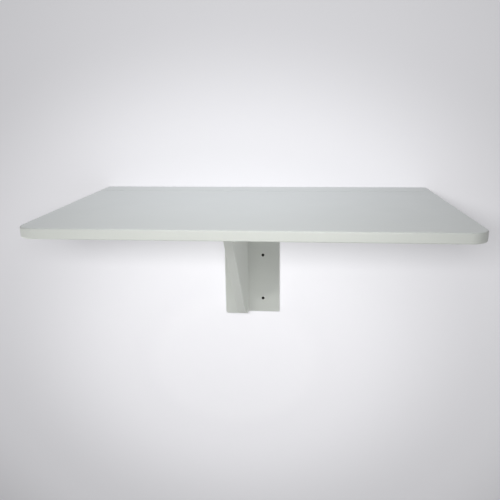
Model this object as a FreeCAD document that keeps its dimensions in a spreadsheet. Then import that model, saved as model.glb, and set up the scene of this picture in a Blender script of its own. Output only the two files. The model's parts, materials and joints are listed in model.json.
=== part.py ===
import FreeCAD, Part
import math
import os

import Sketcher
from FreeCAD import Placement, Rotation, Vector

# Wall mounted drop leaf table, in millimetres.
# X runs along the wall, -Y points away from the wall, +Z is up.
# The origin is on the wall, midway between the two screw holes of the wall plate.

doc = FreeCAD.newDocument("wall_table")

# Driving dimensions
dimensions = {
    # the top: a fixed rear shelf and the drop leaf
    "table_width": 750,
    "table_depth": 450,
    "top_thick": 18,
    "top_height": 217,
    "shelf_depth": 61.5,
    "seam": 1,
    "corner_round": 30,
    "edge_round": 2.5,
    # boards on the wall
    "wall_board": 18,
    "arris": 1,
    "rail_inset": 25,
    "rail_drop": 60,
    "rail_hole_inset": 70,
    "plate_left": 90,
    "plate_right": 40,
    "plate_below": 90,
    "plate_hole_span": 110,
    "wall_hole": 7,
    "stile_width": 54,
    "stile_thick": 16,
    "stile_round": 6,
    # the support wing, its glide pad and its stop
    "wing_thick": 18,
    "wing_gap": 0.5,
    "wing_top_gap": 8,
    "wing_reach": 312,
    "nose_height": 24,
    "foot_height": 24,
    "foot_reach": 90,
    "foot_round": 20,
    "pad_length": 46,
    "pad_inset": 2,
    "pad_screw_inset": 11,
    "pad_corner": 4,
    "pad_round": 1.5,
    "running_gap": 0.3,
    "stop_width": 20,
    "stop_length": 60,
    "stop_height": 15,
    "stop_inset": 32,
    "stop_screw_inset": 14,
    # steel angles between the rail and the rear shelf
    "brace_width": 16,
    "brace_leg": 20,
    "brace_steel": 2,
    "brace_hole_inset": 7,
    "brace_inner": 150,
    "brace_outer_inset": 30,
    # butt hinges
    "hinge_length": 60,
    "hinge_leaf": 20,
    "hinge_steel": 2,
    "hinge_gap": 0.3,
    "hinge_screw_pitch": 20,
    "hinge_screw_edge": 8,
    "knuckle": 6,
    "knuckle_end": 18,
    "knuckle_gap": 0.3,
    "pin": 3,
    "pin_clear": 0.05,
    "pin_head": 4.6,
    "pin_head_thick": 1,
    "leaf_hinge_inset": 140,
    "wing_hinge_inset": 44,
    # countersunk screws with a cross recess
    "screw_core": 3.2,
    "screw_head": 6.4,
    "head_depth": 1.8,
    "recess_span": 3.4,
    "recess_slot": 0.9,
    "recess_depth": 1.2,
    "short_screw": 16,
    "long_screw": 28,
    "screw_clear": 0.1,
    "stile_screw_inset": 30,
    "stile_screw_end": 28,
}

sheet = doc.addObject("Spreadsheet::Sheet", "sizes")
for row, (alias, value) in enumerate(dimensions.items(), start=1):
    sheet.set(f"A{row}", alias)
    sheet.set(f"B{row}", str(value))
    sheet.setAlias(f"B{row}", alias)
doc.recompute()


def size(alias):
    return "sizes." + alias


def total(*terms):
    return "(" + " + ".join(terms) + ")"


def less(first, *others):
    return "(" + " - ".join((first,) + others) + ")"


def minus(term):
    return "(-" + term + ")"


def half(term):
    return "(" + term + " / 2)"


# Places that several pieces share, all as expressions of the driving dimensions
half_width = half(size("table_width"))
half_rail = less(half_width, size("rail_inset"))
underside = less(size("top_height"), size("top_thick"))
rail_bottom = less(underside, size("rail_drop"))
plate_bottom = minus(size("plate_below"))
stile_right = less(size("stile_width"), size("plate_left"))
stile_front = minus(total(size("wall_board"), size("stile_thick")))
seam_middle = minus(total(size("shelf_depth"), half(size("seam"))))
leaf_back = minus(total(size("shelf_depth"), size("seam")))
wing_left = less(stile_right, size("wing_thick"))
wing_top = less(underside, size("wing_top_gap"))
wing_bottom = total(plate_bottom, size("foot_height"))
pad_top = less(underside, size("running_gap"))
pad_front = total(minus(size("wing_reach")), size("pad_inset"))
hinge_offset = total(half(size("knuckle")), size("hinge_gap"))
wing_back = less(stile_front, "2 * " + hinge_offset)
wing_axis_x = less(wing_left, hinge_offset)
wing_axis_y = less(stile_front, hinge_offset)
leaf_axis_z = less(underside, hinge_offset)

# Directions of a piece's own X, Y and Z axes; a screw is driven along its own Z
UP = ((1, 0, 0), (0, 1, 0), (0, 0, 1))
UP_TURNED = ((-1, 0, 0), (0, -1, 0), (0, 0, 1))
DOWN = ((1, 0, 0), (0, -1, 0), (0, 0, -1))
FORWARD = ((1, 0, 0), (0, 0, 1), (0, -1, 0))
TO_WALL = ((1, 0, 0), (0, 0, -1), (0, 1, 0))
TO_WALL_LEAF = ((0, 0, 1), (1, 0, 0), (0, 1, 0))
FORWARD_LEAF = ((0, 0, -1), (1, 0, 0), (0, -1, 0))
ALONG_X = ((0, 1, 0), (0, 0, 1), (1, 0, 0))

pieces = []


def finish_piece(piece, label):
    piece.Label = label
    pieces.append(piece)
    return piece


def place(piece, at, axes=UP):
    x_axis, y_axis, z_axis = (Vector(*axis) for axis in axes)
    piece.Placement = Placement(Vector(), Rotation(x_axis, y_axis, z_axis, "ZXY"))
    for name, text in zip("xyz", at):
        piece.setExpression("Placement.Base." + name, text)
    return piece


def shifted(base, axes, local):
    """A point given in a piece's own axes, as expressions in the table's axes."""
    point = []
    for row in range(3):
        terms = [base[row]]
        for axis, text in zip(axes, local):
            if axis[row] > 0:
                terms.append(text)
            if axis[row] < 0:
                terms.append(minus(text))
        point.append(total(*terms))
    return point


def box(name, length, width, height, at, axes=UP):
    solid = doc.addObject("Part::Box", name)
    solid.setExpression("Length", length)
    solid.setExpression("Width", width)
    solid.setExpression("Height", height)
    return place(solid, at, axes)


def rod(name, diameter, length, at, axes):
    solid = doc.addObject("Part::Cylinder", name)
    solid.setExpression("Radius", half(diameter))
    solid.setExpression("Height", length)
    return place(solid, at, axes)


def joined(name, solids):
    union = doc.addObject("Part::MultiFuse", name)
    union.Shapes = solids
    return union


def cut(name, base, tools):
    difference = doc.addObject("Part::Cut", name)
    difference.Base = base
    difference.Tool = tools[0] if len(tools) == 1 else joined(name + "_tools", tools)
    return difference


def outline_body(name, plane, points, thickness):
    """A board: a polygon on one of its body's own planes, padded by a thickness."""
    body = doc.addObject("PartDesign::Body", name)
    sketch = body.newObject("Sketcher::SketchObject", name + "_outline")
    support = [item for item in body.Origin.OriginFeatures if item.Role == plane][0]
    sketch.AttachmentSupport = [(support, "")]
    sketch.MapMode = "FlatFace"
    count = len(points)
    # a regular polygon to start from, of any size: the constraints then set every corner
    start_radius = 100
    corners = []
    for index in range(count):
        turn = 2 * math.pi * index / count
        corners.append(Vector(start_radius * math.cos(turn), start_radius * math.sin(turn), 0))
    for index in range(count):
        sketch.addGeometry(Part.LineSegment(corners[index], corners[(index + 1) % count]))
    for index in range(count):
        sketch.addConstraint(Sketcher.Constraint("Coincident", index, 2, (index + 1) % count, 1))
    for index, (across, along) in enumerate(points):
        corner = corners[index]
        for kind, start, text in (("DistanceX", corner.x, across), ("DistanceY", corner.y, along)):
            number = sketch.addConstraint(Sketcher.Constraint(kind, -1, 1, index, 1, start))
            sketch.setExpression(f"Constraints[{number}]", text)
    pad = body.newObject("PartDesign::Pad", name + "_pad")
    pad.Profile = sketch
    pad.setExpression("Length", thickness)
    doc.recompute()
    return body


def rectangle(low_across, high_across, low_along, high_along):
    return [
        (low_across, low_along),
        (high_across, low_along),
        (high_across, high_along),
        (low_across, high_along),
    ]


def round_edges(body, name, radius, wanted):
    """Rounds the edges of a body for which wanted(edge box, body box) holds."""
    base = body.Tip
    whole = base.Shape.BoundBox
    names = []
    for number, edge in enumerate(base.Shape.Edges, start=1):
        if wanted(edge.BoundBox, whole):
            names.append(f"Edge{number}")
    fillet = body.newObject("PartDesign::Fillet", name)
    fillet.Base = (base, names)
    fillet.setExpression("Radius", radius)
    doc.recompute()


def near(first, second):
    return abs(first - second) < 1e-4


def on_front(edge, whole):
    return near(edge.YMin, whole.YMin) and near(edge.YMax, whole.YMin)


# Screws


def screw_solid(name, length, at, axes, clear):
    """A countersunk screw driven along its own Z, or with a clearance the hole for it."""
    head = doc.addObject("Part::Cone", name + "_head")
    head.setExpression("Radius1", total(half(size("screw_head")), clear))
    head.setExpression("Radius2", total(half(size("screw_core")), clear))
    head.setExpression("Height", size("head_depth"))
    place(head, at, axes)
    core = rod(name + "_core", total(size("screw_core"), "2 * " + clear), total(length, clear), at, axes)
    return joined(name, [head, core])


def cross_recess(name, at, axes):
    """The two crossed slots in a screw's head."""
    slots = []
    span = size("recess_span")
    width = size("recess_slot")
    for number, (across, along) in enumerate(((span, width), (width, span)), start=1):
        corner = shifted(at, axes, (minus(half(across)), minus(half(along)), "0"))
        slots.append(box(f"{name}_slot_{number}", across, along, size("recess_depth"), corner, axes))
    return slots


def screw_set(label, length, seats):
    """One group of like screws; returns the holes for them, in the same order as the seats."""
    screws = []
    holes = []
    for number, (at, axes) in enumerate(seats, start=1):
        blank = screw_solid(f"{label}_{number}_blank", length, at, axes, "0")
        screws.append(cut(f"{label}_{number}", blank, cross_recess(f"{label}_{number}", at, axes)))
        holes.append(screw_solid(f"{label}_hole_{number}", length, at, axes, size("screw_clear")))
    group = doc.addObject("Part::Compound", label)
    group.Links = screws
    finish_piece(group, label)
    return holes


# Butt hinges: a leaf's own X runs along the pin, its plate lies along +Y against a board at +Z

plate_low = less(hinge_offset, size("hinge_steel"))
hinge_start = minus(half(size("hinge_length")))
middle_knuckle = less(size("hinge_length"), "2 * " + total(size("knuckle_end"), size("knuckle_gap")))


def hinge_screw_seats(base, axes):
    seats = []
    across = less(size("hinge_leaf"), size("hinge_screw_edge"))
    for along in (minus(size("hinge_screw_pitch")), "0", size("hinge_screw_pitch")):
        seats.append((shifted(base, axes, (along, across, plate_low)), axes))
    return seats


def hinge_leaf(label, base, axes, outer):
    """One leaf of a hinge: the outer leaf has the two end knuckles, the inner one the middle."""
    last_start = less(half(size("hinge_length")), size("knuckle_end"))
    first_gap = total(hinge_start, size("knuckle_end"), size("knuckle_gap"))
    if outer:
        knuckles = [(hinge_start, size("knuckle_end")), (last_start, size("knuckle_end"))]
    else:
        knuckles = [(first_gap, middle_knuckle)]
    plate_width = less(size("hinge_leaf"), hinge_offset)
    plate_at = (hinge_start, hinge_offset, plate_low)
    solids = [box(label + "_plate", size("hinge_length"), plate_width, size("hinge_steel"), plate_at)]
    for number, (start, length) in enumerate(knuckles, start=1):
        tongue_at = (start, "0", plate_low)
        solids.append(box(f"{label}_tongue_{number}", length, hinge_offset, size("hinge_steel"), tongue_at))
        solids.append(rod(f"{label}_knuckle_{number}", size("knuckle"), length, (start, "0", "0"), ALONG_X))
    bore = total(size("pin"), "2 * " + size("pin_clear"))
    tools = [rod(label + "_bore", bore, size("hinge_length"), (hinge_start, "0", "0"), ALONG_X)]
    for number, (at, turn) in enumerate(hinge_screw_seats(("0", "0", "0"), UP), start=1):
        sink = f"{label}_sink_{number}"
        tools.append(screw_solid(sink, size("short_screw"), at, turn, size("screw_clear")))
    leaf = cut(label, joined(label + "_blank", solids), tools)
    return finish_piece(place(leaf, base, axes), label)


def hinge_pin(label, base, axes):
    """A hinge pin with a flat head at each end."""
    solids = [rod(label + "_core", size("pin"), size("hinge_length"), (hinge_start, "0", "0"), ALONG_X)]
    head_thick = size("pin_head_thick")
    first_head = less(hinge_start, head_thick)
    for number, start in enumerate((first_head, half(size("hinge_length"))), start=1):
        head_at = (start, "0", "0")
        solids.append(rod(f"{label}_head_{number}", size("pin_head"), head_thick, head_at, ALONG_X))
    return finish_piece(place(joined(label, solids), base, axes), label)


def hinge(label, base, fixed_axes, moving_axes):
    hinge_leaf(label + "_fixed_leaf", base, fixed_axes, True)
    hinge_leaf(label + "_moving_leaf", base, moving_axes, False)
    hinge_pin(label + "_pin", base, fixed_axes)


# Leaf hinges, under the seam between the rear shelf and the drop leaf

shelf_seats = []
leaf_seats = []
leaf_hinge_x = less(half_width, size("leaf_hinge_inset"))
leaf_hinges = {
    "left": minus(leaf_hinge_x),
    "middle": "0",
    "right": leaf_hinge_x,
}
for side, along in leaf_hinges.items():
    base = (along, seam_middle, leaf_axis_z)
    hinge(f"leaf_hinge_{side}", base, UP, UP_TURNED)
    shelf_seats += hinge_screw_seats(base, UP)
    leaf_seats += hinge_screw_seats(base, UP_TURNED)
shelf_holes = screw_set("leaf_hinge_shelf_screws", size("short_screw"), shelf_seats)
leaf_holes = screw_set("leaf_hinge_leaf_screws", size("short_screw"), leaf_seats)

# Wing hinges, between the hinge stile and the wing's rear edge

stile_seats = []
wing_seats = []
wing_hinges = {
    "upper": less(wing_top, size("wing_hinge_inset")),
    "lower": total(wing_bottom, size("wing_hinge_inset")),
}
for side, height in wing_hinges.items():
    base = (wing_axis_x, wing_axis_y, height)
    hinge(f"wing_hinge_{side}", base, TO_WALL_LEAF, FORWARD_LEAF)
    stile_seats += hinge_screw_seats(base, TO_WALL_LEAF)
    wing_seats += hinge_screw_seats(base, FORWARD_LEAF)
stile_holes = screw_set("wing_hinge_stile_screws", size("short_screw"), stile_seats)
wing_holes = screw_set("wing_hinge_wing_screws", size("short_screw"), wing_seats)

# Steel angles between the rail and the rear shelf

rail_front = minus(size("wall_board"))
brace_end = less(rail_front, size("brace_leg"))
brace_screw_y = total(brace_end, size("brace_hole_inset"))
brace_screw_z = total(less(underside, size("brace_leg")), size("brace_hole_inset"))
brace_outer = less(half_rail, size("brace_outer_inset"))
brace_places = (
    minus(brace_outer),
    minus(size("brace_inner")),
    size("brace_inner"),
    brace_outer,
)
brace_up_seats = []
brace_wall_seats = []
for along in brace_places:
    brace_up_seats.append(((along, brace_screw_y, less(underside, size("brace_steel"))), UP))
    brace_wall_seats.append(((along, less(rail_front, size("brace_steel")), brace_screw_z), TO_WALL))
brace_holes = screw_set("brace_screws", size("short_screw"), brace_up_seats + brace_wall_seats)
brace_up_holes = brace_holes[: len(brace_places)]
brace_wall_holes = brace_holes[len(brace_places):]

for number, along in enumerate(brace_places, start=1):
    label = f"shelf_brace_{number}"
    start = less(along, half(size("brace_width")))
    flat_at = (start, brace_end, less(underside, size("brace_steel")))
    upright_at = (start, less(rail_front, size("brace_steel")), less(underside, size("brace_leg")))
    steel = size("brace_steel")
    flat = box(label + "_flat", size("brace_width"), size("brace_leg"), steel, flat_at)
    upright = box(label + "_upright", size("brace_width"), steel, size("brace_leg"), upright_at)
    angle = joined(label + "_angle", [flat, upright])
    holes = [brace_up_holes[number - 1], brace_wall_holes[number - 1]]
    finish_piece(cut(label, angle, holes), label)

# Long screws: behind the stile, through the glide pad and through the stop block

stile_screw_x = less(stile_right, size("stile_screw_inset"))
stile_back_seats = []
for height in (
    less(underside, half(size("rail_drop"))),
    less(rail_bottom, size("stile_screw_end")),
    total(plate_bottom, size("stile_screw_end")),
):
    stile_back_seats.append(((stile_screw_x, "0", height), FORWARD))
stile_back_holes = screw_set("stile_screws", size("long_screw"), stile_back_seats)

wing_middle = total(wing_left, half(size("wing_thick")))
pad_seats = []
for depth in (
    total(pad_front, size("pad_screw_inset")),
    less(total(pad_front, size("pad_length")), size("pad_screw_inset")),
):
    pad_seats.append(((wing_middle, depth, pad_top), DOWN))
pad_holes = screw_set("glide_pad_screws", size("long_screw"), pad_seats)

stop_front = total(minus(size("wing_reach")), size("stop_inset"))
stop_left = total(stile_right, size("wing_gap"))
stop_bottom = less(underside, size("stop_height"))
stop_middle = total(stop_left, half(size("stop_width")))
stop_seats = []
for depth in (
    total(stop_front, size("stop_screw_inset")),
    less(total(stop_front, size("stop_length")), size("stop_screw_inset")),
):
    stop_seats.append(((stop_middle, depth, stop_bottom), UP))
stop_holes = screw_set("stop_block_screws", size("long_screw"), stop_seats)

# Drop leaf

leaf_outline = rectangle(minus(half_width), half_width, minus(size("table_depth")), leaf_back)
leaf_body = outline_body("drop_leaf_board", "XY_Plane", leaf_outline, size("top_thick"))
place(leaf_body, ("0", "0", underside))
round_edges(
    leaf_body,
    "front_corners",
    size("corner_round"),
    lambda edge, whole: edge.ZLength > 1 and on_front(edge, whole),
)
round_edges(
    leaf_body,
    "leaf_edges",
    size("edge_round"),
    lambda edge, whole: near(edge.ZMin, edge.ZMax) and not near(edge.YMin, whole.YMax),
)
finish_piece(cut("drop_leaf", leaf_body, leaf_holes + stop_holes), "drop_leaf")

# Rear shelf

shelf_outline = rectangle(minus(half_width), half_width, minus(size("shelf_depth")), "0")
shelf_body = outline_body("rear_shelf_board", "XY_Plane", shelf_outline, size("top_thick"))
place(shelf_body, ("0", "0", underside))
round_edges(
    shelf_body,
    "shelf_ends",
    size("edge_round"),
    lambda edge, whole: near(edge.XMin, edge.XMax) and near(edge.ZMin, edge.ZMax),
)
finish_piece(cut("rear_shelf", shelf_body, shelf_holes + brace_up_holes), "rear_shelf")

# Wall rail, with a hole at each end for a wall screw

rail_outline = rectangle(minus(half_rail), half_rail, rail_bottom, underside)
rail_body = outline_body("wall_rail_board", "XZ_Plane", rail_outline, size("wall_board"))
round_edges(rail_body, "rail_edges", size("arris"), on_front)
rail_hole_z = less(underside, half(size("rail_drop")))
rail_hole_x = less(half_rail, size("rail_hole_inset"))
rail_bores = []
for number, along in enumerate((minus(rail_hole_x), rail_hole_x), start=1):
    bore_at = (along, "0", rail_hole_z)
    rail_bores.append(rod(f"rail_bore_{number}", size("wall_hole"), size("wall_board"), bore_at, FORWARD))
finish_piece(cut("wall_rail", rail_body, rail_bores + brace_wall_holes + stile_back_holes[:1]), "wall_rail")

# Wall plate, with two open holes one above the other

plate_outline = rectangle(minus(size("plate_left")), size("plate_right"), plate_bottom, rail_bottom)
plate_body = outline_body("wall_plate_board", "XZ_Plane", plate_outline, size("wall_board"))
round_edges(plate_body, "plate_edges", size("arris"), on_front)
plate_hole_z = half(size("plate_hole_span"))
plate_bores = []
for number, height in enumerate((minus(plate_hole_z), plate_hole_z), start=1):
    bore_at = ("0", "0", height)
    plate_bores.append(rod(f"plate_bore_{number}", size("wall_hole"), size("wall_board"), bore_at, FORWARD))
finish_piece(cut("wall_plate", plate_body, plate_bores + stile_back_holes[1:]), "wall_plate")

# Hinge stile, in front of the rail and the plate

stile_outline = rectangle(minus(size("plate_left")), stile_right, plate_bottom, underside)
stile_body = outline_body("hinge_stile_board", "XZ_Plane", stile_outline, size("stile_thick"))
place(stile_body, ("0", rail_front, "0"))
round_edges(
    stile_body,
    "stile_corner",
    size("stile_round"),
    lambda edge, whole: edge.YLength > 1 and near(edge.XMax, whole.XMin) and near(edge.ZMax, whole.ZMin),
)
round_edges(stile_body, "stile_edges", size("arris"), on_front)
finish_piece(cut("hinge_stile", stile_body, stile_holes + stile_back_holes), "hinge_stile")

# Support wing, a board cut to a slant from its nose to its foot

nose = minus(size("wing_reach"))
wing_outline = [
    (nose, wing_top),
    (nose, less(wing_top, size("nose_height"))),
    (minus(size("foot_reach")), wing_bottom),
    (wing_back, wing_bottom),
    (wing_back, wing_top),
]
wing_body = outline_body("support_wing_board", "YZ_Plane", wing_outline, size("wing_thick"))
place(wing_body, (wing_left, "0", "0"))
round_edges(
    wing_body,
    "wing_foot",
    size("foot_round"),
    lambda edge, whole: edge.XLength > 1 and near(edge.ZMax, whole.ZMin) and edge.YMax < whole.YMax - 1,
)
round_edges(
    wing_body,
    "wing_edges",
    size("arris"),
    lambda edge, whole: near(edge.XMin, edge.XMax),
)
finish_piece(cut("support_wing", wing_body, wing_holes + pad_holes), "support_wing")

# Glide pad on the wing's nose, and the stop block under the leaf

pad_outline = rectangle(wing_left, stile_right, pad_front, total(pad_front, size("pad_length")))
pad_body = outline_body("glide_pad_block", "XY_Plane", pad_outline, less(pad_top, wing_top))
place(pad_body, ("0", "0", wing_top))
round_edges(pad_body, "pad_corners", size("pad_corner"), lambda edge, whole: edge.ZLength > 1)
round_edges(pad_body, "pad_rim", size("pad_round"), lambda edge, whole: near(edge.ZMin, whole.ZMax))
finish_piece(cut("glide_pad", pad_body, pad_holes), "glide_pad")

stop_right = total(stop_left, size("stop_width"))
stop_outline = rectangle(stop_left, stop_right, stop_front, total(stop_front, size("stop_length")))
stop_body = outline_body("stop_block_blank", "XY_Plane", stop_outline, size("stop_height"))
place(stop_body, ("0", "0", stop_bottom))
round_edges(stop_body, "stop_edges", size("arris"), lambda edge, whole: not near(edge.ZMin, whole.ZMax))
finish_piece(cut("stop_block", stop_body, stop_holes), "stop_block")

# Check every object, then write each piece

doc.recompute()
for item in doc.Objects:
    if "Invalid" in item.State or "Error" in item.State:
        raise RuntimeError(f"{item.Label} failed: {item.State}")
for piece in pieces:
    shape = piece.Shape
    if shape.isNull() or not shape.isValid() or not shape.Solids:
        raise RuntimeError(f"{piece.Label} has no valid solid")

os.makedirs("parts", exist_ok=True)
for piece in pieces:
    piece.Shape.exportStep(f"parts/{piece.Label}.step")
    print(f"{piece.Label}: {len(piece.Shape.Solids)} solids, {piece.Shape.Volume:.0f} mm3")
print(len(pieces), "pieces")
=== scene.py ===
import json
import math

import bpy
from mathutils import Matrix, Vector


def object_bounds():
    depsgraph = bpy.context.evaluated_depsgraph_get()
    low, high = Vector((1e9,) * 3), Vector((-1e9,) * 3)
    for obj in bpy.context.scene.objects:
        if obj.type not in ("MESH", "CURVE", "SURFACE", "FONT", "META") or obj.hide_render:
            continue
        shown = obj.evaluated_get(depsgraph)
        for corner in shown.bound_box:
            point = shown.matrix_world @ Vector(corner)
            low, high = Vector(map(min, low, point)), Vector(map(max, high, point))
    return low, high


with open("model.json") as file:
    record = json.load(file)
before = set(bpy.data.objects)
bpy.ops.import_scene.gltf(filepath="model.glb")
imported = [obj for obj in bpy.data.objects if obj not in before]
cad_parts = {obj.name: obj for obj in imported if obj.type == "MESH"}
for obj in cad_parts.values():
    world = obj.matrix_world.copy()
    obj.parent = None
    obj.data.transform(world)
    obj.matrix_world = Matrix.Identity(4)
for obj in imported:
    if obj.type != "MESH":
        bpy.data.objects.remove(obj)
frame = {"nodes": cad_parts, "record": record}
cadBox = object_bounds()  # the bare model's box
nodes = frame["nodes"]
mounts = {mount["name"]: mount for mount in frame["record"]["mounts"]}
millimetre = 0.001


# small helpers for node materials

noiseSpread = (0.3, 0.7)  # most values of a noise lie between these
noisePairSpread = (0.7, 1.3)  # the same for two of them added up
edgeSamples = 6
creaseSamples = 8


def opaque(color):
    return (*color, 1.0)


black = opaque((0, 0, 0))
white = opaque((1, 1, 1))


def newMaterial(name):
    material = bpy.data.materials.new(name)
    material.use_nodes = True
    material.node_tree.nodes.clear()
    return material


def addNode(material, kind, inputs=None, **settings):
    node = material.node_tree.nodes.new(kind)
    for key, value in settings.items():
        setattr(node, key, value)
    for key, value in (inputs or {}).items():
        if isinstance(value, bpy.types.NodeSocket):
            material.node_tree.links.new(value, node.inputs[key])
        else:
            node.inputs[key].default_value = value
    return node


def objectPlace(material):
    return addNode(material, "ShaderNodeTexCoord").outputs["Object"]


def stretched(material, place, scale):
    return addNode(material, "ShaderNodeMapping", {"Vector": place, "Scale": scale}).outputs["Vector"]


def distanceTo(material, place, spot):
    inputs = {0: place, 1: spot}
    return addNode(material, "ShaderNodeVectorMath", inputs, operation="DISTANCE").outputs["Value"]


def noise(material, place, scale=1.0, detail=2.0, roughness=0.5):
    inputs = {"Vector": place, "Scale": scale, "Detail": detail, "Roughness": roughness}
    return addNode(material, "ShaderNodeTexNoise", inputs).outputs["Fac"]


def remap(material, value, span, newSpan):
    low, high = span
    newLow, newHigh = newSpan
    inputs = {"Value": value, "From Min": low, "From Max": high, "To Min": newLow, "To Max": newHigh}
    return addNode(material, "ShaderNodeMapRange", inputs).outputs["Result"]


def combine(material, operation, first, second):
    return addNode(material, "ShaderNodeMath", {0: first, 1: second}, operation=operation).outputs["Value"]


def dimmed(material, color, factor):
    inputs = {0: color, 3: factor}  # socket 3 is the scale
    return addNode(material, "ShaderNodeVectorMath", inputs, operation="SCALE").outputs["Vector"]


def mixColor(material, share, first, second):
    inputs = {0: share, 6: first, 7: second}  # sockets 6 and 7 are the colour ones
    return addNode(material, "ShaderNodeMix", inputs, data_type="RGBA").outputs[2]


def bumped(material, height, strength, distance, under=None):
    inputs = {"Height": height, "Strength": strength, "Distance": distance}
    if under is not None:
        inputs["Normal"] = under
    return addNode(material, "ShaderNodeBump", inputs).outputs["Normal"]


def softNormal(material, reach):
    # the normal as if every arris were rounded to this radius
    return addNode(material, "ShaderNodeBevel", {"Radius": reach}, samples=edgeSamples).outputs["Normal"]


def edgeShare(material, soft, lean):
    # how far a softened normal leans from the true one: 0 on a flat, 1 on an arris
    true = addNode(material, "ShaderNodeNewGeometry").outputs["Normal"]
    cosine = addNode(material, "ShaderNodeVectorMath", {0: soft, 1: true}, operation="DOT_PRODUCT")
    return remap(material, cosine.outputs["Value"], lean, (0.0, 1.0))


def creaseShadeShare(material, finish):
    # painted shade: the full depth in tight inner corners, nothing in the open
    inputs = {"Distance": finish["creaseShadeReach"]}
    openness = addNode(material, "ShaderNodeAmbientOcclusion", inputs, samples=creaseSamples).outputs["AO"]
    return remap(material, openness, finish["creaseShadeSpan"], (finish["creaseShadeDepth"], 0.0))


def plainlySeen(material):
    # 1 for rays from the camera, and for what metal or glass shows of the surroundings
    rays = addNode(material, "ShaderNodeLightPath").outputs
    seen = combine(material, "MAXIMUM", rays["Is Camera Ray"], rays["Is Glossy Ray"])
    return combine(material, "MAXIMUM", seen, rays["Is Transmission Ray"])


def finishMaterial(material, inputs):
    shader = addNode(material, "ShaderNodeBsdfPrincipled", inputs)
    addNode(material, "ShaderNodeOutputMaterial", {"Surface": shader.outputs["BSDF"]})
    return material


# white satin paint on board; lengths are in metres, pattern scales in counts per metre

paint = {
    "pale": (0.802, 0.818, 0.794),
    "dim": (0.775, 0.788, 0.772),
    "cloud": {"scale": 5.0, "detail": 4.0, "roughness": 0.55},
    "fleck": {"scale": 210.0, "detail": 3.0, "roughness": 0.6},
    "fleckDepth": 0.012,
    "roughness": (0.36, 0.46),
    "sheen": {"scale": 15.0, "detail": 5.0},  # where the roughness is low or high
    "specular": 0.45,
    "ripple": {"scale": 26.0, "detail": 1.0},
    "rippleBump": 0.05,
    "peel": {"scale": 620.0, "detail": 2.0},
    "peelBump": 0.10,
    "bumpHeight": 0.0004,
    "edgeReach": 0.0035,
    "edgeLean": (0.995, 0.80),  # cosine of the lean on a flat and on an arris
    # paler arrises: partly rubbed wear, partly a painted highlight
    "rubAndHighlightTone": (0.83, 0.835, 0.82),
    "edgePolish": 0.03,
    "rubAndHighlightSpan": (0.35, 0.65),  # the clouds thin out the rubbed edges and their painted highlight
    "rubAndHighlightShare": (0.2, 0.9),
    # painted shade in the inside corners
    "creaseShadeReach": 0.012,
    "creaseShadeSpan": (0.35, 0.9),
    "creaseShadeDepth": 0.4,
    "creaseShadeTone": (0.70, 0.70, 0.69),
}

bore = {
    # the bare core, painted darker than bare board as the shade inside the holes
    "tone": (0.075, 0.066, 0.056),
    "fibreTone": (0.04, 0.034, 0.028),
    "fibre": {"scale": 1800.0, "detail": 3.0, "roughness": 0.7},
    "margin": 0.05 * millimetre,
    "wallMargin": 1.5 * millimetre,
    "pairs": (  # two holes each: the mount, its spacing and the way from one hole to the other
        ("wall_plate_holes", "spacing_y_mm", Vector((0, 0, 1))),
        ("wall_rail_holes", "spacing_x_mm", Vector((1, 0, 0))),
    ),
}


def boreShare(material, place, margin):
    # 1 inside the open wall screw holes, where the bare core of the board shows, painted darker as the shade
    # inside them
    parts = addNode(material, "ShaderNodeSeparateXYZ", {"Vector": place}).outputs
    onWall = addNode(material, "ShaderNodeCombineXYZ", {"X": parts["X"], "Z": parts["Z"]}).outputs["Vector"]
    share = None
    for name, spacing, way in bore["pairs"]:
        mount = mounts[name]
        middle = Vector(mount["pos_m"])
        offset = way * (mount["dims"][spacing] * millimetre / 2)
        radius = mount["dims"]["hole_r_mm"] * millimetre + margin
        for spot in (middle - offset, middle + offset):
            gap = distanceTo(material, onWall, (spot.x, 0, spot.z))
            inside = combine(material, "LESS_THAN", gap, radius)
            share = inside if share is None else combine(material, "MAXIMUM", share, inside)
    return share


def makePaint(name, shadedHoles=False):
    material = newMaterial(name)
    place = objectPlace(material)
    cloud = noise(material, place, **paint["cloud"])
    fleck = noise(material, place, **paint["fleck"])
    color = mixColor(material, cloud, opaque(paint["dim"]), opaque(paint["pale"]))
    fleckTone = remap(material, fleck, noiseSpread, (1 - paint["fleckDepth"], 1.0))
    color = dimmed(material, color, fleckTone)

    edge = edgeShare(material, softNormal(material, paint["edgeReach"]), paint["edgeLean"])
    wearAndHighlightPatches = remap(material, cloud, paint["rubAndHighlightSpan"], paint["rubAndHighlightShare"])
    rubAndHighlight = combine(material, "MULTIPLY", edge, wearAndHighlightPatches)
    # painted highlight and wear: the arrises turn paler where the clouds allow
    color = mixColor(material, rubAndHighlight, color, opaque(paint["rubAndHighlightTone"]))
    # painted shade: darker in the inside corners, where the occlusion mask finds shade
    color = mixColor(material, creaseShadeShare(material, paint), color, opaque(paint["creaseShadeTone"]))

    sheen = noise(material, place, **paint["sheen"])
    roughness = remap(material, sheen, noiseSpread, paint["roughness"])
    polish = combine(material, "MULTIPLY", edge, paint["edgePolish"])
    roughness = combine(material, "SUBTRACT", roughness, polish)
    ripple = noise(material, place, **paint["ripple"])
    peel = noise(material, place, **paint["peel"])
    normal = bumped(material, ripple, paint["rippleBump"], paint["bumpHeight"])
    normal = bumped(material, peel, paint["peelBump"], paint["bumpHeight"], normal)

    if shadedHoles:
        # painted shade: the bores show the bare core, darkened as if in shadow
        inside = boreShare(material, place, bore["margin"])
        fibre = noise(material, place, **bore["fibre"])
        coreInShade = mixColor(material, fibre, opaque(bore["fibreTone"]), opaque(bore["tone"]))
        color = mixColor(material, inside, color, coreInShade)
        roughness = combine(material, "MAXIMUM", roughness, inside)
    return finishMaterial(material, {
        "Base Color": color,
        "Roughness": roughness,
        "Normal": normal,
        "Specular IOR Level": paint["specular"],
    })


# plated steel of the hinges, braces and screws

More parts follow.
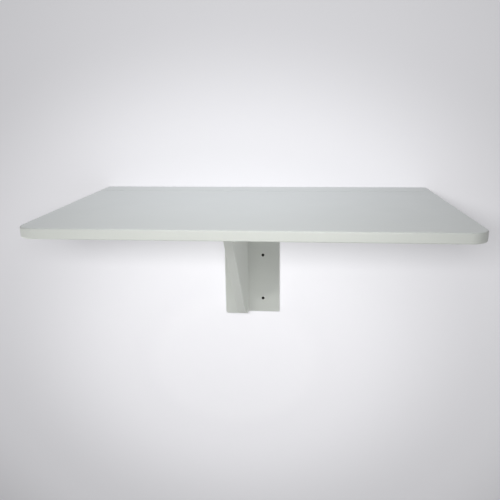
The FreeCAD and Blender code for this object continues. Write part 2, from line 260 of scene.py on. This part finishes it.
nickel = {
    "bright": (0.70, 0.685, 0.655),
    "dull": (0.56, 0.545, 0.52),
    # painted shade for the inside corners
    "shadeTone": (0.20, 0.19, 0.175),
    "blotch": {"scale": 90.0, "detail": 4.0, "roughness": 0.6},
    "roughness": (0.24, 0.38),
    "grainStretch": (60.0, 1500.0, 1500.0),  # counts per metre along x, y and z
    "grain": {"detail": 3.0, "roughness": 0.6},
    "grainBump": 0.08,
    "bumpHeight": 0.0002,
    "edgeReach": 0.0005,
    "creaseShadeReach": 0.004,
    "creaseShadeSpan": (0.3, 0.85),
    "creaseShadeDepth": 0.8,
}
braceZinc = dict(
    nickel,
    bright=(0.66, 0.68, 0.70),
    dull=(0.50, 0.52, 0.545),
    flakeScale=170.0,
    flakeShare=0.5,
    roughness=(0.34, 0.52),
    grainStretch=(220.0, 220.0, 220.0),
    grainBump=0.12,
)
screwZinc = dict(
    nickel,
    bright=(0.74, 0.745, 0.74),
    dull=(0.60, 0.61, 0.615),
    roughness=(0.22, 0.36),
    grainStretch=(900.0, 900.0, 900.0),
    grainBump=0.05,
    edgeReach=0.0002,
    creaseShadeReach=0.0015,
)


def makeSteel(name, steel, spangled=False):
    material = newMaterial(name)
    place = objectPlace(material)
    grain = noise(material, stretched(material, place, steel["grainStretch"]), **steel["grain"])
    tone = noise(material, place, **steel["blotch"])
    if spangled:  # the crystal flakes of a zinc bath
        flakes = addNode(material, "ShaderNodeTexVoronoi", {"Vector": place, "Scale": steel["flakeScale"]})
        parts = addNode(material, "ShaderNodeSeparateColor", {"Color": flakes.outputs["Color"]}).outputs
        flake = combine(material, "MULTIPLY", parts["Red"], steel["flakeShare"])
        blotch = combine(material, "MULTIPLY", tone, 1 - steel["flakeShare"])
        tone = combine(material, "ADD", flake, blotch)
    color = mixColor(material, tone, opaque(steel["dull"]), opaque(steel["bright"]))
    # painted shade: the steel darkens in its inside corners
    color = mixColor(material, creaseShadeShare(material, steel), color, opaque(steel["shadeTone"]))
    mottle = combine(material, "ADD", grain, tone)
    roughness = remap(material, mottle, noisePairSpread, steel["roughness"])
    soft = softNormal(material, steel["edgeReach"])
    normal = bumped(material, grain, steel["grainBump"], steel["bumpHeight"], soft)
    return finishMaterial(material, {
        "Base Color": color,
        "Metallic": 1.0,
        "Roughness": roughness,
        "Normal": normal,
    })


# moulded nylon of the glide pad

nylon = {
    "pale": (0.80, 0.79, 0.745),
    "dim": (0.72, 0.71, 0.66),
    "roughness": (0.42, 0.58),
    "flowStretch": (60.0, 18.0, 60.0),
    "flow": {"detail": 3.0},
    "mould": {"scale": 900.0, "detail": 2.0},
    "mouldBump": 0.15,
    "bumpHeight": 0.0002,
    "glow": 0.12,
    "glowReach": 0.002,
}


def makeNylon(name):
    material = newMaterial(name)
    place = objectPlace(material)
    flow = noise(material, stretched(material, place, nylon["flowStretch"]), **nylon["flow"])
    color = mixColor(material, flow, opaque(nylon["dim"]), opaque(nylon["pale"]))
    roughness = remap(material, flow, noiseSpread, nylon["roughness"])
    mould = noise(material, place, **nylon["mould"])
    normal = bumped(material, mould, nylon["mouldBump"], nylon["bumpHeight"])
    return finishMaterial(material, {
        "Base Color": color,
        "Roughness": roughness,
        "Normal": normal,
        "Subsurface Weight": nylon["glow"],
        "Subsurface Scale": nylon["glowReach"],
    })


boardPaint = makePaint("satinPaint")
shadedHolePaint = makePaint("satinPaintShadedHoles", shadedHoles=True)
hingeNickel = makeSteel("hingeNickel", nickel)
braceSteel = makeSteel("braceZinc", braceZinc, spangled=True)
screwSteel = makeSteel("screwZinc", screwZinc)
padNylon = makeNylon("glideNylon")

slotMaterials = {
    "white_board": boardPaint,
    "hinge_steel": hingeNickel,
    "brace_steel": braceSteel,
    "zinc_screw": screwSteel,
    "glide_nylon": padNylon,
}
drilledNodes = ("wall_plate", "wall_rail")

for subpart in frame["record"]["subparts"]:
    name = subpart["node"]
    material = shadedHolePaint if name in drilledNodes else slotMaterials[subpart["material_slot"]]
    for materialSlot in nodes[name].material_slots:
        materialSlot.material = material


# wall and floor of the studio

backdrop = {
    "wallWidth": 7.0,
    "wallHeight": 3.6,
    "wallGap": 0.0005,  # behind the table's back
    "wallTint": (0.99, 0.985, 1.02),
    "wallGlow": 0.412,  # strength of the wall's own light
    "wallShade": 0.6,  # share of the wall's tone that takes light and shadow
    "glowMiddle": (-0.08, 0.0, -0.235),
    "glowStretch": (1.0, 1.0, 1.2),  # the glow is wider than tall
    "glowStops": ((0.175, 1.0), (0.25, 0.972), (0.666, 0.793), (1.0, 0.66)),  # radius in metres, tone; a painted pool of light in both the glow and the wall's own colour
    "floorDrop": 0.72,  # below the lowest point of the table
    "floorTone": (0.62, 0.62, 0.63),
    "floorDim": 0.985,  # share of the tone that the floor's clouds keep
    "floorCloud": {"scale": 1.5, "detail": 2.0},
    "floorGlow": 0.4,
}


def deselectAll():
    bpy.ops.object.select_all(action="DESELECT")


def makeWallMaterial():
    material = newMaterial("wallPaint")
    place = objectPlace(material)
    shadedHoles = boreShare(material, place, bore["wallMargin"])  # painted shadow: black behind the screw holes, so neither glow nor lamp light shows through them
    stretch = backdrop["glowStretch"]
    middle = Vector(backdrop["glowMiddle"]) * Vector(stretch)
    reach = distanceTo(material, stretched(material, place, stretch), middle)
    # painted pool of light: the wall's glow and its own colour fall off outward from the middle
    lightPool = addNode(material, "ShaderNodeValToRGB", {"Fac": reach})
    lightPool.color_ramp.interpolation = "EASE"
    stops = lightPool.color_ramp.elements
    for radius, tone in backdrop["glowStops"][1:-1]:  # a new ramp has its two end stops already
        stops.new(radius)
    for stop, (radius, tone) in zip(stops, backdrop["glowStops"]):
        stop.position = radius
        stop.color = opaque(tone * Vector(backdrop["wallTint"]))
    # painted shadow: the wall is black behind the screw holes
    color = mixColor(material, shadedHoles, lightPool.outputs["Color"], black)
    glow = addNode(material, "ShaderNodeEmission", {"Color": color, "Strength": backdrop["wallGlow"]})
    shade = mixColor(material, backdrop["wallShade"], black, color)
    matt = addNode(material, "ShaderNodeBsdfDiffuse", {"Color": shade})
    shader = addNode(material, "ShaderNodeAddShader", {0: glow.outputs[0], 1: matt.outputs[0]})
    clear = addNode(material, "ShaderNodeBsdfTransparent")
    behind = addNode(material, "ShaderNodeNewGeometry").outputs["Backfacing"]  # open from behind
    mixed = addNode(material, "ShaderNodeMixShader", {0: behind, 1: shader.outputs[0], 2: clear.outputs[0]})
    addNode(material, "ShaderNodeOutputMaterial", {"Surface": mixed.outputs[0]})
    return material


def makeFloorMaterial():
    material = newMaterial("floorPaint")
    cloud = noise(material, objectPlace(material), **backdrop["floorCloud"])
    tone = Vector(backdrop["floorTone"])
    color = mixColor(material, cloud, opaque(tone * backdrop["floorDim"]), opaque(tone))
    matt = addNode(material, "ShaderNodeBsdfDiffuse", {"Color": color})
    strength = combine(material, "MULTIPLY", plainlySeen(material), backdrop["floorGlow"])
    glow = addNode(material, "ShaderNodeEmission", {"Color": white, "Strength": strength})
    shader = addNode(material, "ShaderNodeAddShader", {0: glow.outputs[0], 1: matt.outputs[0]})
    addNode(material, "ShaderNodeOutputMaterial", {"Surface": shader.outputs[0]})
    return material


def addStagePlane(name, size, location, rotation, material):
    deselectAll()
    bpy.ops.mesh.primitive_plane_add(size=1.0, location=location, rotation=rotation)
    plane = bpy.context.object
    plane.name = name
    plane.scale = (*size, 1.0)
    bpy.ops.object.transform_apply(location=True, rotation=True, scale=True)
    plane.data.materials.append(material)
    return plane


floorHeight = cadBox[0].z - backdrop["floorDrop"]
wallMiddle = floorHeight + backdrop["wallHeight"] / 2
wallSize = (backdrop["wallWidth"], backdrop["wallHeight"])
wallPlace = (0, cadBox[1].y + backdrop["wallGap"], wallMiddle)
upright = (math.radians(90), 0, 0)
wall = addStagePlane("stageWall", wallSize, wallPlace, upright, makeWallMaterial())
wall.visible_diffuse = False  # the wall shows and takes shadows, and leaves the light on the table alone
wall.visible_glossy = False
wall.visible_transmission = False
wall.visible_shadow = False
floorSize = (backdrop["wallWidth"], backdrop["wallWidth"])
floor = addStagePlane("stageFloor", floorSize, (0, 0, floorHeight), (0, 0, 0), makeFloorMaterial())
print("stage set")


# soft lamps round the table, and the pale surround

tints = {
    "cool": (0.91, 0.942, 1.0),
    "fair": (0.98, 1.0, 0.985),
    "warm": (0.985, 1.0, 0.955),
    "plain": (1.0, 1.0, 1.0),
}
lamps = {  # places and sizes in metres, power in watts; a lamp that shines shows in gloss
    "topRearBox": {
        "at": (-0.06, 0.02, 0.8),
        "aim": (-0.06, 0.02, 0.2),
        "size": (0.8, 0.25),
        "power": 2.7,
        "tint": "cool",
        "lights": "room",
        "shines": False,
    },
    "topFrontBox": {
        "at": (-0.03, -0.34, 0.6),
        "aim": (-0.03, -0.34, 0.2),
        "size": (0.3, 0.15),
        "power": 0.37,
        "tint": "cool",
        "lights": "room",
        "shines": False,
    },
    "highBox": {
        "at": (0.0, -1.35, 0.62),
        "aim": (0.0, -0.3, 0.15),
        "size": (0.45, 0.22),
        "power": 2.6,
        "tint": "fair",
        "lights": "room",
        "shines": True,
    },
    "nearLeftBox": {
        "at": (-0.16, -0.74, 0.33),
        "aim": (-0.16, -0.45, 0.2),
        "size": (0.22, 0.08),
        "power": 0.25,
        "tint": "warm",
        "lights": "room",
        "shines": True,
    },
    "nearRightBox": {
        "at": (0.14, -0.74, 0.33),
        "aim": (0.14, -0.45, 0.2),
        "size": (0.22, 0.08),
        "power": 0.31,
        "tint": "warm",
        "lights": "room",
        "shines": True,
    },
    "lowBox": {
        "at": (0.0, -1.4, 0.24),
        "aim": (0.0, -0.3, 0.1),
        "size": (0.45, 0.22),
        "power": 1.3,
        "tint": "warm",
        "lights": "room",
        "shines": True,
    },
    "rightBox": {
        "at": (0.9, -0.15, -0.3),
        "aim": (-0.04, -0.15, 0.06),
        "size": (0.4, 0.4),
        "power": 2.65,
        "tint": "warm",
        "lights": "table",
        "shines": False,
    },
    "leftBox": {
        "at": (-1.0, -0.28, -0.25),
        "aim": (-0.05, -0.2, 0.05),
        "size": (0.4, 0.4),
        "power": 2.45,
        "tint": "warm",
        "lights": "table",
        "shines": False,
    },
    "leftLowBox": {
        "at": (-0.75, -0.75, -0.35),
        "aim": (-0.05, -0.2, 0.08),
        "size": (0.4, 0.4),
        "power": 1.65,
        "tint": "warm",
        "lights": "table",
        "shines": False,
    },
    "underBox": {
        "at": (-0.05, -0.75, -0.75),
        "aim": (-0.05, -0.15, 0.08),
        "size": (0.4, 0.3),
        "power": 1.3,
        "tint": "warm",
        "lights": "table",
        "shines": False,
    },
    "wallBox": {
        "at": (-0.02, -1.35, 0.46),
        "aim": (-0.02, 0.0, 0.05),
        "size": (0.4, 0.2),
        "power": 16.6,
        "tint": "plain",
        "lights": "wall",
        "shines": False,
    },
    "backBox": {
        "at": (0.4, 1.5, -0.15),
        "aim": (0.0, 0.0, 0.05),
        "size": (1.2, 0.8),
        "power": 5.4,
        "tint": "plain",
        "lights": "table",
        "shines": False,
    },
}


def makeReceivers(name, state, planes):
    group = bpy.data.collections.new(name)
    for plane in planes:
        group.objects.link(plane)
    for entry in group.collection_objects:
        entry.light_linking.link_state = state
    return group


receivers = {  # what a lamp lights
    "wall": makeReceivers("wallOnly", "INCLUDE", (wall,)),
    "room": makeReceivers("wallLess", "EXCLUDE", (wall,)),  # the table and the floor
    "table": makeReceivers("tableOnly", "EXCLUDE", (wall, floor)),
}


def addLamp(name, lamp):
    deselectAll()
    bpy.ops.object.light_add(type="AREA", location=lamp["at"])
    light = bpy.context.object
    light.name = name
    light.data.shape = "RECTANGLE"
    light.data.size, light.data.size_y = lamp["size"]
    light.data.energy = lamp["power"]
    light.data.color = tints[lamp["tint"]]
    direction = Vector(lamp["aim"]) - Vector(lamp["at"])
    light.rotation_euler = direction.to_track_quat("-Z", "Y").to_euler()
    light.visible_camera = False
    light.visible_glossy = lamp["shines"]
    light.light_linking.receiver_collection = receivers[lamp["lights"]]


for lampName, lamp in lamps.items():
    addLamp(lampName, lamp)

surround = {
    "ambient": (0.12, 0.12, 0.12),
    "seen": (0.60, 0.60, 0.61),
}


def makeSurround():
    world = bpy.data.worlds.new("studioSurround")
    bpy.context.scene.world = world
    world.use_nodes = True
    world.node_tree.nodes.clear()
    color = mixColor(world, plainlySeen(world), opaque(surround["ambient"]), opaque(surround["seen"]))
    glow = addNode(world, "ShaderNodeBackground", {"Color": color})
    addNode(world, "ShaderNodeOutputWorld", {"Surface": glow.outputs[0]})


makeSurround()
print("lamps set:", len(lamps))


# camera at the photograph's angle, for a square picture

viewpoint = {
    "at": (0.0832, -1.2483, 0.4065),
    "yaw": 5.306,  # degrees, turned to the left
    "pitch": 15.362,  # degrees, looking down
    "roll": 0.624,  # degrees
    "lens": 38.32,  # millimetres, as is the sensor
    "sensor": 36.0,
}


def addCamera():
    deselectAll()
    bpy.ops.object.camera_add(location=viewpoint["at"])
    camera = bpy.context.object
    camera.name = "photoCamera"
    camera.data.lens = viewpoint["lens"]
    camera.data.sensor_width = viewpoint["sensor"]
    turn = Matrix.Rotation(math.radians(viewpoint["yaw"]), 4, "Z")
    tilt = Matrix.Rotation(math.radians(90 - viewpoint["pitch"]), 4, "X")  # unturned, it looks straight down
    roll = Matrix.Rotation(math.radians(-viewpoint["roll"]), 4, "Z")
    camera.matrix_world = Matrix.Translation(viewpoint["at"]) @ turn @ tilt @ roll
    bpy.context.scene.camera = camera


addCamera()
bpy.context.scene.view_settings.view_transform = "Standard"
print("camera set")
